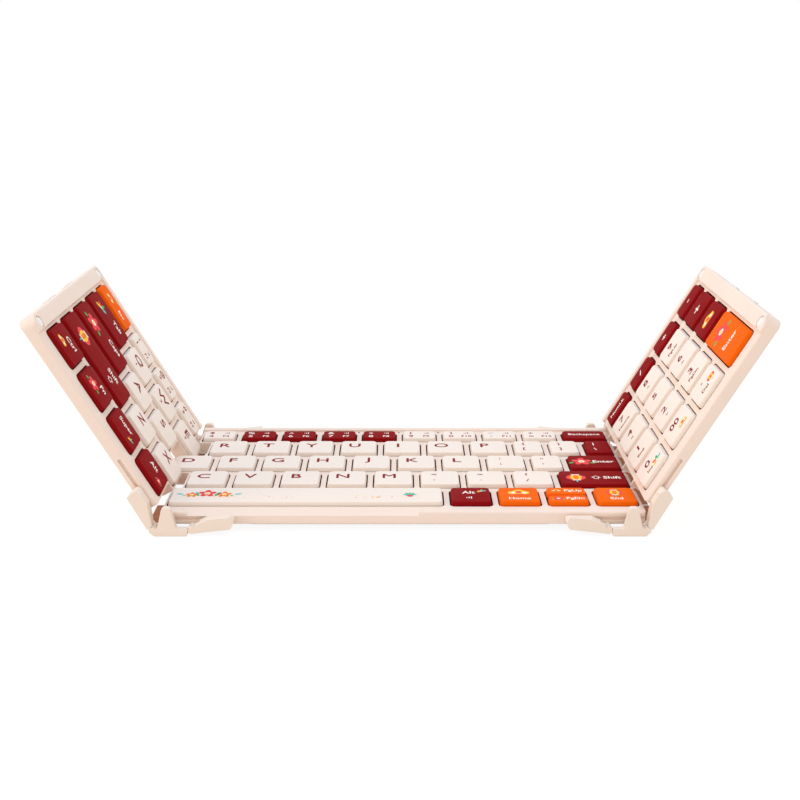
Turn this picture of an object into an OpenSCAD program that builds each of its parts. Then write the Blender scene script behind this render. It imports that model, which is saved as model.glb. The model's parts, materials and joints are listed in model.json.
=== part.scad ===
// Three-panel folding keyboard with a number pad.
// The centre panel lies flat. Each wing stands at wing_raise on a pair of
// link hinges, one in front of the panels and one behind them. A hinge is a
// slider in a groove of the centre panel, a link with two knuckles, and an arm
// in a groove of the wing. The slider and the arm draw in and out as the
// links turn, so the comb-shaped panel ends close up when the keyboard lies
// flat and the wings meet edge to edge when it is folded shut.
// X runs along the key rows, Y points away from the typist, Z is up.

/* [Panels] */
// Front-to-back depth of all three panels
panel_depth = 94.4; // [94:0.2:97]
// Thickness of a panel from its key deck to its underside
panel_thickness = 5; // [4.8:0.1:5.2]
// Height of the raised rims and wing bands above the key deck
rim_height = 1; // [0.6:0.1:1]
// Distance from a wing's first key opening to its outer end
wing_reach = 77.6; // [76:0.2:77.6]
// Width of the raised blank band at a wing's outer end
band_width = 6.6; // [5:0.2:6.6]
// Corner radius at a wing's outer end
wing_corner_r = 4.2; // [2:0.2:5]

/* [Keys] */
// Centre distance of two plain keys on the centre panel
key_pitch = 18.1; // [18:0.1:18.2]
// Width of the web between two key openings
web = 2; // [1.8:0.1:2.2]
// Gap between a key and its opening
key_gap = 0.5; // [0.4:0.05:0.6]
// Height of a key's top above the deck
key_rise = 1.6; // [1.4:0.05:1.65]
// How far a key can be pressed
key_travel = 1; // [0.8:0.1:1]

/* [Hinges] */
// Angle of the wings above level
wing_raise = 60; // [45:1:75]
// Distance between the two pivots of a link
link_length = 14.2; // [14.2:0.1:14.6]
// Depth of the pivots below the key deck
pivot_depth = 5.3; // [5.25:0.05:5.3]
// Distance of the inner pivot from the middle of the keyboard
inner_pivot_x = 75.8; // [75.6:0.1:76]
// Distance of the outer pivot from the wing's first key opening
pivot_to_wing = 9.85; // [9.6:0.05:10.2]
// Radius of a link's knuckles
knuckle_r = 1.2; // [1.15:0.05:1.3]
// Radius of a hinge pin
pin_r = 0.6; // [0.5:0.05:0.65]

/* [Hidden] */

$fn = 48;
e = 0.02;

// Colours
cream = [0.96, 0.9, 0.83];
red = [0.55, 0.09, 0.11];
orange = [0.98, 0.47, 0.09];
steel = [0.68, 0.69, 0.7];
film = [0.75, 0.78, 0.8];
white_soft = [0.93, 0.94, 0.94];

// Heights in a panel, counted from its key deck
half_depth = panel_depth / 2;
underside = -panel_thickness;
parting = -3.8;
deck_plate = 1.2;
floor_t = 0.8;
plate_top = -2.5;
plate_t = 0.3;
sheet_t = 0.15;
key_bottom = -1;
key_wall = 1;
key_roof = 0.9;

// Rows, counted from the front
row_front = [-43.2, -25.2, -7.2, 10.8, 28.8];
row_depth = [18, 18, 18, 18, 13.2];
rim_front = 43.4;
edge_gap = 0.25;

// The link's height above the ground and the deck's height over its pivots
base_drop = 2.2;
pivot_z = base_drop;
deck_z = pivot_z + pivot_depth;
outer_pivot_x = inner_pivot_x + link_length;

// Hinge plates: how far they stand off the panels and how thick they are
plate_gap = 2.6;
hinge_t = 2.6;
slide_gap = 0.15;
layer_gap = 0.1;
pin_play = 0.05;
groove_z = -3.1;
groove_h = 1.3;
groove_d = 0.9;

// Rows of keys as [first seam, key widths]: the last key fills up to the end
function row(first, widths, end) = [
    first, concat(widths, [end - first - total(widths, len(widths))])
];
function same(n, width) = [for (i = [1:n]) width];

// The centre panel's rows run from left to right
centre_end = 89.85;
centre_rows = [
    row(-87.6, [105.1, 18.1, 18.2, 18], centre_end),
    row(-84, same(8, key_pitch), centre_end),
    row(-92.95, concat(same(8, key_pitch), [14.9]), centre_end),
    row(-80.6, concat(same(7, key_pitch), [15, 14.8]), centre_end),
    row(-85.9, concat([16.8], same(8, key_pitch - 0.9)), centre_end)
];

// The wings' rows run from the inner edge outwards
wing_end_seam = 71;
left_rows = [
    row(-3.9, same(3, 18.7), wing_end_seam),
    row(-7.4, same(2, 18), wing_end_seam),
    row(1.56, same(2, 18), wing_end_seam),
    row(-10.8, same(3, 18.27), wing_end_seam),
    row(-5.6, same(3, 17.6), wing_end_seam)
];
pad_rows = [for (i = [0:4]) row(-web / 2, same(3, 18), wing_end_seam)];
pad_wall = 2;

// Sum of the first n values of a list
function total(v, n) = n == 0 ? 0 : v[n - 1] + total(v, n - 1);

// Cell of key i in a row: [x0, y0, x1, y1]
function cell(rows, r, i) = [
    rows[r][0] + total(rows[r][1], i), row_front[r],
    rows[r][0] + total(rows[r][1], i + 1), row_front[r] + row_depth[r]
];
function cells(rows, r, list) = [for (i = list) cell(rows, r, i)];
function listed(v, list) = len([for (x = list) if (x == v) x]) > 0;
function all_cells(rows, skip = []) = [
    for (r = [0:4]) for (i = [0:len(rows[r][1]) - 1])
        if (!listed([r, i], skip)) cell(rows, r, i)
];
function shrink(c, d) = [c[0] + d, c[1] + d, c[2] - d, c[3] - d];

// The page keys share one opening, and the pad's enter key spans two rows
page_cell = cell(centre_rows, 0, 3);
page_mid = (page_cell[1] + page_cell[3]) / 2;
page_split = 0.3 - key_gap - web / 2;
page_down = [page_cell[0], page_cell[1], page_cell[2], page_mid - page_split];
page_up = [page_cell[0], page_mid + page_split, page_cell[2], page_cell[3]];
pad_enter = [
    cell(pad_rows, 0, 3)[0], row_front[0],
    cell(pad_rows, 0, 3)[2], row_front[1] + row_depth[1]
];

centre_openings = all_cells(centre_rows);
left_openings = all_cells(left_rows);
pad_openings = concat(all_cells(pad_rows, [[0, 3], [1, 3]]), [pad_enter]);
centre_keys = concat(
    all_cells(centre_rows, [[0, 3]]), [page_down, page_up]
);

// --- Placing -------------------------------------------------------------

module at_centre() {
    translate([0, 0, deck_z]) children();
}

module at_right_wing() {
    translate([outer_pivot_x, 0, pivot_z])
        rotate([0, -wing_raise, 0])
            translate([pivot_to_wing, 0, pivot_depth]) children();
}

module at_left_wing() {
    mirror([1, 0, 0]) at_right_wing() children();
}

module front_and_back() {
    children();
    mirror([0, 1, 0]) children();
}

// A profile drawn in X and Z, extruded from y0 to y1
module along_y(y0, y1) {
    translate([0, y1, 0]) rotate([90, 0, 0]) linear_extrude(y1 - y0) children();
}

// A profile drawn in Y and Z, extruded from x0 to x1
module along_x(x0, x1) {
    translate([x0, 0, 0]) rotate([90, 0, 90]) linear_extrude(x1 - x0) children();
}

module box(c, z0, z1) {
    translate([c[0], c[1], z0]) cube([c[2] - c[0], c[3] - c[1], z1 - z0]);
}

module rounded_rect(c, r) {
    translate([c[0] + r, c[1]]) square([c[2] - c[0] - 2 * r, c[3] - c[1]]);
    translate([c[0], c[1] + r]) square([c[2] - c[0], c[3] - c[1] - 2 * r]);
    for (x = [c[0] + r, c[2] - r], y = [c[1] + r, c[3] - r])
        translate([x, y]) circle(r, $fn = 24);
}

// Points of a closed outline with its corners rounded to their radii
function turn_arc(a, b, c, r, n = 6) =
    let (
        u = (a - b) / norm(a - b),
        v = (c - b) / norm(c - b),
        half = acos(max(-1, min(1, u * v))) / 2,
        reach = r / tan(half),
        p = b + u * reach,
        q = b + v * reach,
        m = b + (u + v) / norm(u + v) * r / sin(half)
    )
    r <= 0 ? [b] : [
        for (i = [0:n])
            let (w = p + (q - p) * i / n) m + (w - m) / norm(w - m) * r
    ];
function rounded_outline(pts, radii) = [
    for (i = [0:len(pts) - 1])
        let (k = len(pts))
            each turn_arc(pts[(i + k - 1) % k], pts[i], pts[(i + 1) % k], radii[i])
];

// --- Panel outlines ------------------------------------------------------

// Steps of a comb-shaped end from front to back: each row's end, grown by g
function comb(ends, g, side) = [
    for (r = [0:4])
        let (
            x = ends[r] + side * g,
            lower = r == 0 ? -half_depth : row_front[r],
            upper = r == 4 ? half_depth : row_front[r + 1],
            before = r == 0 ? 0 : (ends[r] - ends[r - 1]) * side > 0 ? -g : g,
            after = r == 4 ? 0 : (ends[r] - ends[r + 1]) * side > 0 ? g : -g
        )
            each [[x, lower + before], [x, upper + after]]
];
comb_radii = [1, 0.6, 0.6, 0.6, 0.6, 0.6, 0.6, 0.6, 0.6, 1];

left_ends = [for (r = [0:4]) centre_rows[r][0]];
wing_ends = [for (r = [0:4]) left_rows[r][0]];

// Small notches between the row ends on the centre panel's right side,
// which take the teeth of the number pad's edge
notch_r = 1.5;
notch_w = 0.6;
notch_d = 3;
notch_wall = 0.6;
function notched_end(x, g) = concat(
    [[x + g, -half_depth]],
    [for (r = [1:4]) each [
        [x + g, row_front[r] - notch_w - g], [x + g - notch_d, row_front[r] - notch_w - g],
        [x + g - notch_d, row_front[r] + notch_w - g], [x + g, row_front[r] + notch_w - g]
    ]],
    [[x + g, half_depth]]
);
notch_radii = concat([1], [for (r = [1:4]) each [notch_r, 0, 0, notch_r]], [1]);

function reversed(v) = [for (i = [len(v) - 1:-1:0]) v[i]];

module centre_outline() {
    polygon(rounded_outline(
        concat(
            notched_end(centre_end + 0.1, 0),
            reversed(comb(left_ends, -edge_gap, -1))
        ),
        concat(notch_radii, comb_radii)
    ));
}

module left_outline() {
    polygon(rounded_outline(
        concat(
            [[wing_reach, -half_depth], [wing_reach, half_depth]],
            reversed(comb(wing_ends, edge_gap, 1))
        ),
        concat([wing_corner_r, wing_corner_r], comb_radii)
    ));
}

// Teeth between the pockets that take the centre panel's row ends
tooth_reach = 2.7;
tooth_base = 0.5;
tooth_tip = 0.25;
function toothed_end(x) = concat(
    [[x, half_depth]],
    [for (r = [4:-1:1]) each [
        [x, row_front[r] + tooth_base], [x - tooth_reach, row_front[r] + tooth_tip],
        [x - tooth_reach, row_front[r] - tooth_tip], [x, row_front[r] - tooth_base]
    ]],
    [[x, -half_depth]]
);

module right_outline() {
    polygon(rounded_outline(
        concat(
            [[wing_reach, -half_depth], [wing_reach, half_depth]],
            toothed_end(-pad_wall)
        ),
        concat(
            [wing_corner_r, wing_corner_r, 1],
            [for (r = [1:4]) each [0.3, 0, 0, 0.3]], [1]
        )
    ));
}

// The space inside a panel: each row's openings joined, with walls all round.
// last holds the far ends of the rows and of the strips that join them
module inner_space(rows, last, g) {
    for (r = [0:4]) {
        x0 = rows[r][0] + web / 2 + g;
        y0 = (r == 0 ? row_front[0] + web / 2 : row_front[r] + web / 2) + g;
        y1 = row_front[r] + row_depth[r] - web / 2 - g;
        translate([x0, y0]) square([last[0] - g - x0, y1 - y0]);
    }
    for (r = [1:4]) {
        x0 = max(rows[r][0], rows[r - 1][0]) + web / 2 + g;
        y0 = row_front[r] - web;
        translate([x0, y0]) square([last[1] - g - x0, 2 * web]);
    }
}

// --- Shell sections ------------------------------------------------------

edge_r = 0.9;
foot_r = 0.8;
opening_r = 2;
key_r = 1.6;

// Deck seen from its end: round front edge, flat key deck, raised back rim
module deck_section() {
    polygon(rounded_outline(
        [
            [-half_depth, parting], [-half_depth, 0], [rim_front, 0],
            [rim_front + 0.3, rim_height], [half_depth, rim_height], [half_depth, parting]
        ],
        [0, edge_r, 0.25, 0.3, edge_r, 0]
    ));
}

module cover_section() {
    polygon(rounded_outline(
        [
            [-half_depth, underside], [-half_depth, parting],
            [half_depth, parting], [half_depth, underside]
        ],
        [foot_r, 0, 0, foot_r]
    ));
}

module openings(list) {
    for (c = list)
        translate([0, 0, -deck_plate - e])
            linear_extrude(deck_plate + 2 * e)
                rounded_rect(shrink(c, web / 2), opening_r);
}

// Groove for a slider's or an arm's tongue, in the front and back faces
module grooves(x0, x1) {
    front_and_back()
        translate([x0, -half_depth - e, groove_z])
            cube([x1 - x0, groove_d + e, groove_h]);
}

// --- Keys ----------------------------------------------------------------

// Side of a key: upright skirt, slanted wall, small bevel round the top
key_slant = 0.3;
key_bevel = 0.55;
key_edge = 0.2;
module key_section(a, b) {
    polygon([
        [a, key_bottom], [a, 0], [a + key_slant, key_rise - key_edge],
        [a + key_bevel, key_rise], [b - key_bevel, key_rise],
        [b - key_slant, key_rise - key_edge], [b, 0], [b, key_bottom]
    ]);
}

module key_cap(c) {
    k = shrink(c, web / 2 + key_gap);
    difference() {
        intersection() {
            translate([0, 0, key_bottom])
                linear_extrude(key_rise - key_bottom) rounded_rect(k, key_r);
            along_y(k[1], k[3]) key_section(k[0], k[2]);
            along_x(k[0], k[2]) key_section(k[1], k[3]);
        }
        box(shrink(k, key_wall), key_bottom - e, key_rise - key_roof);
    }
}

module key_caps(list) {
    for (c = list) key_cap(c);
}

// Rubber domes on the switch sheet, low enough for a pressed key to clear
dome_top = key_rise - key_roof - key_travel - 0.1;
module domes(list) {
    for (c = list)
        translate([(c[0] + c[2]) / 2, (c[1] + c[3]) / 2, plate_top + sheet_t - e])
            cylinder(r1 = dome_r(c), r2 = dome_r(c) * 0.6,
                h = dome_top - plate_top - sheet_t + e);
}
function dome_r(c) = min(2.6, (c[3] - c[1]) / 2 - 3.6);

// The folded scissor frame that guides a key, a ring round its dome
module scissor_frames(list) {
    for (c = list) {
        w = min(10.4, c[2] - c[0] - 6.2);
        d = min(9.4, c[3] - c[1] - 5.6);
        bar = min(1.1, d / 2 - dome_r(c) - 0.15);
        m = [(c[0] + c[2]) / 2, (c[1] + c[3]) / 2];
        frame = [m[0] - w / 2, m[1] - d / 2, m[0] + w / 2, m[1] + d / 2];
        difference() {
            box(frame, plate_top + sheet_t, dome_top);
            box(shrink(frame, bar), plate_top, dome_top + e);
        }
    }
}

// --- Panels --------------------------------------------------------------

post_r = 1.2;
boss_r = 0.8;

// Places of the posts that hold a key plate, at the crossings of its webs
function post_places(rows) = [
    for (r = [1:4]) for (i = [1:3:len(rows[r][1]) - 1])
        [rows[r][0] + total(rows[r][1], i), row_front[r]]
];

module posts(rows, r, z0, z1) {
    for (p = post_places(rows))
        translate([p[0], p[1], z0]) cylinder(r = r, h = z1 - z0, $fn = 24);
}

module panel_deck(rows, list, last) {
    difference() {
        intersection() {
            translate([0, 0, parting]) linear_extrude(-parting + rim_height) children(0);
            along_x(-200, 200) deck_section();
        }
        difference() {
            translate([0, 0, parting - e])
                linear_extrude(-parting - deck_plate + e) inner_space(rows, last, 0);
            posts(rows, boss_r, plate_top + sheet_t, 0);
        }
        openings(list);
        children(1);
    }
    if ($children > 2) children(2);
}

module panel_cover(rows, last) {
    rim = 0.1;
    difference() {
        intersection() {
            translate([0, 0, underside]) linear_extrude(parting - underside) children(0);
            along_x(-200, 200) cover_section();
        }
        translate([0, 0, underside + floor_t])
            linear_extrude(2) inner_space(rows, last, rim);
    }
    posts(rows, post_r, underside + floor_t - e, plate_top - plate_t);
}

module panel_key_plate(rows, last) {
    translate([0, 0, plate_top - plate_t])
        linear_extrude(plate_t) inner_space(rows, last, 0.15);
}

module panel_switch_sheet(rows, last, list) {
    translate([0, 0, plate_top])
        linear_extrude(sheet_t) inner_space(rows, last, 0.3);
    domes(list);
}

// --- Centre panel --------------------------------------------------------

centre_last = [centre_end - web / 2, centre_end - web / 2 - notch_d - notch_wall];
groove_in = 60.5;

// Chamfer in the front edge, where a thumb lifts the wings
scoop_x0 = -80;
scoop_x1 = 9;
module thumb_scoop() {
    depth = 3.6;
    drop = 1.6;
    run = 3;
    difference() {
        along_x(scoop_x0, scoop_x1)
            polygon([
                [-half_depth + depth, 0], [-half_depth + depth, 2],
                [-half_depth - 1, 2], [-half_depth - 1, -drop * 1.28]
            ]);
        for (x = [scoop_x0, scoop_x1])
            translate([x, -half_depth, -2 * drop])
                rotate([0, 0, 45])
                    cube([run, run, 4 * drop], center = true);
    }
}

port_x = -52;
port_w = 9;
port_h = 3.2;
port_z = -3.8;
port_depth = 5.4;

// A slot with round ends in X and Z
module slot_section(w, h) {
    translate([-(w - h) / 2, -h / 2]) square([w - h, h]);
    for (x = [-1, 1]) translate([x * (w - h) / 2, 0]) circle(h / 2, $fn = 32);
}

light_x = [-17.9, -0.6, 16.6];
light_y = 42.6;
light_r = 0.5;

module centre_deck() {
    color(cream) at_centre()
        panel_deck(centre_rows, centre_openings, centre_last) {
            centre_outline();
            union() {
                for (side = [0, 1]) mirror([side, 0, 0]) grooves(groove_in, 120);
                thumb_scoop();
                translate([port_x, 0, port_z + port_h / 2])
                    along_y(half_depth - port_depth, half_depth + 1)
                        slot_section(port_w, port_h);
                for (x = light_x)
                    translate([x, light_y, -deck_plate - 3])
                        cylinder(r = light_r, h = deck_plate + 6, $fn = 24);
            }
        }
}

module centre_bottom_cover() {
    color(cream) at_centre()
        difference() {
            panel_cover(centre_rows, centre_last) centre_outline();
            translate([port_x, 0, port_z + port_h / 2])
                along_y(half_depth - port_depth, half_depth + 1)
                    slot_section(port_w, port_h);
            for (s = strips) box(shrink(s, -0.05), underside - 1, underside + strip_sink);
        }
}

module centre_key_plate() {
    color(steel) at_centre() panel_key_plate(centre_rows, centre_last);
}

module centre_switch_sheet() {
    color(film) at_centre()
        panel_switch_sheet(centre_rows, centre_last, centre_keys);
}

module centre_scissors() {
    color("white") at_centre() scissor_frames(centre_keys);
}

module main_board() {
    color("darkgreen") at_centre() {
        board = [-60, 30.2, 30, 40.6];
        box(board, underside + floor_t, underside + floor_t + 0.8);
        for (i = [0:3])
            box([-40 + i * 18, 32, -34 + i * 18, 38],
                underside + floor_t + 0.8 - e, underside + floor_t + 1.3);
    }
}

battery_place = [-17, -22.5, 29, 8.5];
battery_t = 1.3;
module battery() {
    color("slategray") at_centre()
        translate([0, 0, underside + floor_t])
            linear_extrude(battery_t) rounded_rect(battery_place, 1.5);
}

strip_sink = 0.3;
strip_drop = 0.8;
strips = [[-56, -45, 56, -40], [-56, 40, 56, 45]];
module foot_strips() {
    color("dimgray") at_centre()
        for (s = strips)
            translate([0, 0, underside - strip_drop])
                linear_extrude(strip_drop + strip_sink) rounded_rect(s, 2);
}

module charging_port() {
    wall = 0.35;
    tongue = 0.7;
    color(steel) at_centre()
        translate([port_x, 0, port_z + port_h / 2])
            difference() {
                along_y(half_depth - port_depth, half_depth - 0.1)
                    slot_section(port_w, port_h);
                difference() {
                    along_y(half_depth - port_depth + 0.5, half_depth + 1)
                        slot_section(port_w - 2 * wall, port_h - 2 * wall);
                    translate([-3.3, half_depth - port_depth, -tongue / 2])
                        cube([6.6, port_depth - 0.9, tongue]);
                }
            }
}

module indicator_lights() {
    color([0.1, 0.08, 0.08]) at_centre()
        for (x = light_x)
            translate([x, light_y, -deck_plate])
                cylinder(r = light_r, h = deck_plate, $fn = 24);
}

// --- Wings ---------------------------------------------------------------

wing_last = [wing_end_seam - web / 2, wing_end_seam - web / 2];
groove_out = 18;
band_start = wing_reach - band_width;
pad_r = 2;
pad_inset = [3.7, 4.2];
pad_sink = 0.6;
pocket_gap = 0.35;
bumper_ends = [[-21.6, -9.7], [3.6, 16.3]];
bumper_z = [-3, -1];
bumper_out = 0.6;
bumper_sink = 0.8;

module pad_places() {
    for (side = [-1, 1])
        translate([wing_reach - pad_inset[0], side * (half_depth - pad_inset[1]), 0])
            children();
}

// Blank band along the outer end, raised to the height of the back rim
module outer_band() {
    along_y(-half_depth, half_depth)
        polygon(rounded_outline(
            [
                [band_start, -0.4], [band_start + 0.3, rim_height],
                [wing_reach, rim_height], [wing_reach, -0.4]
            ],
            [0, 0.3, edge_r, 0]
        ));
}

// Deck shared by both wings, with its own outline and rows
module wing_deck(rows, list) {
    difference() {
        union() {
            panel_deck(rows, list, wing_last) {
                children(0);
                grooves(-20, groove_out);
            }
            intersection() {
                outer_band();
                translate([0, 0, -1]) linear_extrude(3) children(0);
                along_x(0, 100) band_section();
            }
        }
        pad_places()
            translate([0, 0, rim_height - pad_sink])
                cylinder(r = pad_r + pocket_gap, h = 2, $fn = 32);
        bumper_seats(0);
    }
}

// Band seen from its end, with its front and back edges rounded off
module band_section() {
    polygon(rounded_outline(
        [
            [-half_depth, -1], [-half_depth, rim_height],
            [half_depth, rim_height], [half_depth, -1]
        ],
        [0, edge_r, edge_r, 0]
    ));
}

module bumper_seats(out) {
    for (b = bumper_ends)
        translate([wing_reach - bumper_sink, b[0], bumper_z[0]])
            cube([bumper_sink + out, b[1] - b[0], bumper_z[1] - bumper_z[0]]);
}

module wing_bumpers() {
    h = bumper_z[1] - bumper_z[0];
    for (b = bumper_ends)
        translate([0, 0, bumper_z[0]])
            linear_extrude(h)
                polygon(rounded_outline(
                    [
                        [wing_reach - bumper_sink, b[0]], [wing_reach + bumper_out, b[0]],
                        [wing_reach + bumper_out, b[1]], [wing_reach - bumper_sink, b[1]]
                    ],
                    [0, 0.45, 0.45, 0]
                ));
}

module wing_pads() {
    pad_places()
        translate([0, 0, rim_height - pad_sink]) {
            cylinder(r = pad_r, h = pad_sink - 0.15, $fn = 32);
            translate([0, 0, pad_sink - 0.15 - e])
                cylinder(r1 = pad_r, r2 = pad_r - 0.3, h = 0.15 + e, $fn = 32);
        }
}

module left_deck() {
    color(cream) at_left_wing() wing_deck(left_rows, left_openings) left_outline();
}

module left_bottom_cover() {
    color(cream) at_left_wing() panel_cover(left_rows, wing_last) left_outline();
}

module left_key_plate() {
    color(steel) at_left_wing() panel_key_plate(left_rows, wing_last);
}

module left_switch_sheet() {
    color(film) at_left_wing() panel_switch_sheet(left_rows, wing_last, left_openings);
}

module left_scissors() {
    color("white") at_left_wing() scissor_frames(left_openings);
}

module left_pads() {
    color(white_soft) at_left_wing() wing_pads();
}

module left_bumpers() {
    color(white_soft) at_left_wing() wing_bumpers();
}

module right_deck() {
    color(cream) at_right_wing() wing_deck(pad_rows, pad_openings) right_outline();
}

module right_bottom_cover() {
    color(cream) at_right_wing() panel_cover(pad_rows, wing_last) right_outline();
}

module right_key_plate() {
    color(steel) at_right_wing() panel_key_plate(pad_rows, wing_last);
}

module right_switch_sheet() {
    color(film) at_right_wing() panel_switch_sheet(pad_rows, wing_last, pad_openings);
}

module right_scissors() {
    color("white") at_right_wing() scissor_frames(pad_openings);
}

module right_pads() {
    color(white_soft) at_right_wing() wing_pads();
}

module right_bumpers() {
    color(white_soft) at_right_wing() wing_bumpers();
}

// --- Hinges --------------------------------------------------------------

// Layers of a hinge in front of the panels, counted from the middle: the ears
// round the pins, the link's knuckles, and a skin that hides both
hinge_back = half_depth + slide_gap;
hinge_front = half_depth + plate_gap;
hinge_face = hinge_front + hinge_t;
skin_back = hinge_face - 1.1;
clearance = 0.15;
link_half = link_length / 2;

// Outlines of the slider and the arm, drawn with their pivot at the origin,
// reaching along +X with the key side up
slider_points = [
    [0, -1.2], [14.3, 0.5], [15.6, 3], [14.3, 5.1], [6.4, 4.2], [0.95, 1.75], [0.95, 0.6]
];
slider_radii = [0, 0.8, 1, 0.8, 1.5, 0.3, 0];
arm_points = [
    [0.85, -1.3], [1.35, 0.75], [2.4, 1.2], [9.3, 3.95], [14, 4.4], [16.1, 3.3], [15.3, -0.9]
];
arm_radii = [0.4, 0.2, 0.4, 1.2, 0.8, 0.8, 0.8];
tongue_play = 0.1;

// Inner layer of a lobe: an ear round the pin and the block that runs in a
// groove, with a tongue from x0 to x1
module lobe_inside(x0, x1) {
    block_start = 2.6;
    along_y(-hinge_front + layer_gap, -hinge_back)
        difference() {
            union() {
                circle(knuckle_r + 0.1);
                translate([0, -1.1]) square([block_start + 1, 2.1]);
                intersection() {
                    children();
                    translate([block_start, -2]) square([20, 6]);
                }
            }
            circle(pin_r + pin_play);
        }
    along_y(-hinge_front - e, -hinge_front + layer_gap + e)
        intersection() {
            children();
            translate([block_start + 0.2, -2]) square([20, 6]);
        }
    translate([x0, -hinge_back - e, groove_z + pivot_depth + tongue_play])
        cube([x1 - x0, slide_gap + groove_d - tongue_play + e, groove_h - 2 * tongue_play]);
}

// The slider's skin reaches over the link's knuckle, and ends in a round nose
module slider_lobe() {
    module outline() polygon(rounded_outline(slider_points, slider_radii));
    along_y(-hinge_face, -skin_back) {
        outline();
        circle(knuckle_r);
    }
    along_y(-skin_back - e, -hinge_front)
        intersection() {
            outline();
            translate([knuckle_r + clearance, -5]) square([20, 12]);
        }
    lobe_inside(7.2, 15) outline();
}

module arm_lobe() {
    module outline() polygon(rounded_outline(arm_points, arm_radii));
    along_y(-hinge_face, -hinge_front)
        difference() {
            outline();
            circle(knuckle_r + clearance);
        }
    lobe_inside(12, 15.6) outline();
}

// Link seen from the front: a low foot with a tapered tower on it, which
// drops between the two lobes when the wings fold shut
foot_top = 0.6;
foot_start = 1.35;
tower_top = 8.6;
rear_tower_top = 6.7;
module link_outline(top) {
    polygon(rounded_outline(
        [
            [-link_half + foot_start, -base_drop], [link_half - 0.5, -base_drop],
            [link_half + 0.6, -1.04], [link_half, foot_top], [link_half - 1.9, foot_top],
            [link_half - 3.85, top], [-link_half + 7.3, top],
            [-link_half + 5.5, foot_top], [-link_half + foot_start, foot_top]
        ],
        [0.9, 0.8, 0, 0, 1, 1, 1, 1, 0.7]
    ));
    translate([link_half, 0]) circle(knuckle_r);
}

module link_plate(top) {
    knuckle_face = -skin_back + layer_gap;
    difference() {
        union() {
            along_y(-hinge_face, -hinge_front) link_outline(top);
            along_y(knuckle_face, -hinge_front)
                translate([-link_half, 0]) {
                    circle(knuckle_r);
                    translate([0, -knuckle_r])
                        square([foot_start + 1, knuckle_r + foot_top]);
                }
        }
        for (side = [-1, 1])
            along_y(knuckle_face - e, -hinge_front + e)
                translate([side * link_half, 0]) circle(pin_r);
    }
}

module right_links() {
    color(cream)
        translate([inner_pivot_x + link_half, 0, pivot_z]) {
            link_plate(tower_top);
            mirror([0, 1, 0]) link_plate(rear_tower_top);
        }
}

module right_hinge_pins() {
    color(steel)
        for (x = [inner_pivot_x, outer_pivot_x])
            translate([x, 0, pivot_z])
                front_and_back()
                    along_y(-skin_back + layer_gap, -hinge_back - 0.1) circle(pin_r);
}

module right_sliders() {
    color(cream)
        translate([inner_pivot_x, 0, pivot_z])
            mirror([1, 0, 0]) front_and_back() slider_lobe();
}

module right_arms() {
    color(cream)
        translate([outer_pivot_x, 0, pivot_z])
            rotate([0, -wing_raise, 0]) front_and_back() arm_lobe();
}

module left_links() {
    mirror([1, 0, 0]) right_links();
}

module left_hinge_pins() {
    mirror([1, 0, 0]) right_hinge_pins();
}

module left_sliders() {
    mirror([1, 0, 0]) right_sliders();
}

module left_arms() {
    mirror([1, 0, 0]) right_arms();
}

// --- Key groups ----------------------------------------------------------

module centre_key_group(r, list, paint) {
    color(paint) at_centre() key_caps(cells(centre_rows, r, list));
}

module left_key_group(r, list, paint) {
    color(paint) at_left_wing() key_caps(cells(left_rows, r, list));
}

module pad_key_group(r, list, paint) {
    color(paint) at_right_wing() key_caps(cells(pad_rows, r, list));
}

module esc_key() { left_key_group(4, [3], orange); }
module left_number_keys() { left_key_group(4, [0:2], cream); }
module tab_key() { left_key_group(3, [3], red); }
module left_upper_keys() { left_key_group(3, [0:2], cream); }
module caps_key() { left_key_group(2, [2], red); }
module left_home_keys() { left_key_group(2, [0:1], cream); }
module left_shift_key() { left_key_group(1, [2], red); }
module left_lower_keys() { left_key_group(1, [0:1], cream); }
module modifier_keys() { left_key_group(0, [0:3], red); }

module number_keys() { centre_key_group(4, [0, 5, 6, 7, 8], cream); }
module accent_number_keys() { centre_key_group(4, [1, 2, 3, 4, 9], red); }
module upper_keys() { centre_key_group(3, [0:8], cream); }
module backslash_key() { centre_key_group(3, [9], red); }
module home_keys() { centre_key_group(2, [0:8], cream); }
module enter_key() { centre_key_group(2, [9], red); }
module lower_keys() { centre_key_group(1, [0:7], cream); }
module right_shift_key() { centre_key_group(1, [8], red); }
module space_bar() { centre_key_group(0, [0], cream); }
module alt_key() { centre_key_group(0, [1], red); }
module page_keys() {
    centre_key_group(0, [2, 4], orange);
    color(orange) at_centre() key_caps([page_down, page_up]);
}

module pad_operator_keys() { pad_key_group(4, [0:3], red); }
module pad_upper_keys() { pad_key_group(3, [0:2], cream); }
module pad_middle_keys() { pad_key_group(2, [0:2], cream); }
module pad_lower_keys() { pad_key_group(1, [0:2], cream); }
module pad_accent_keys() {
    pad_key_group(3, [3], red);
    pad_key_group(2, [3], red);
}
module pad_enter_key() { color(orange) at_right_wing() key_cap(pad_enter); }
module pad_zero_keys() { pad_key_group(0, [0:2], cream); }

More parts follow.
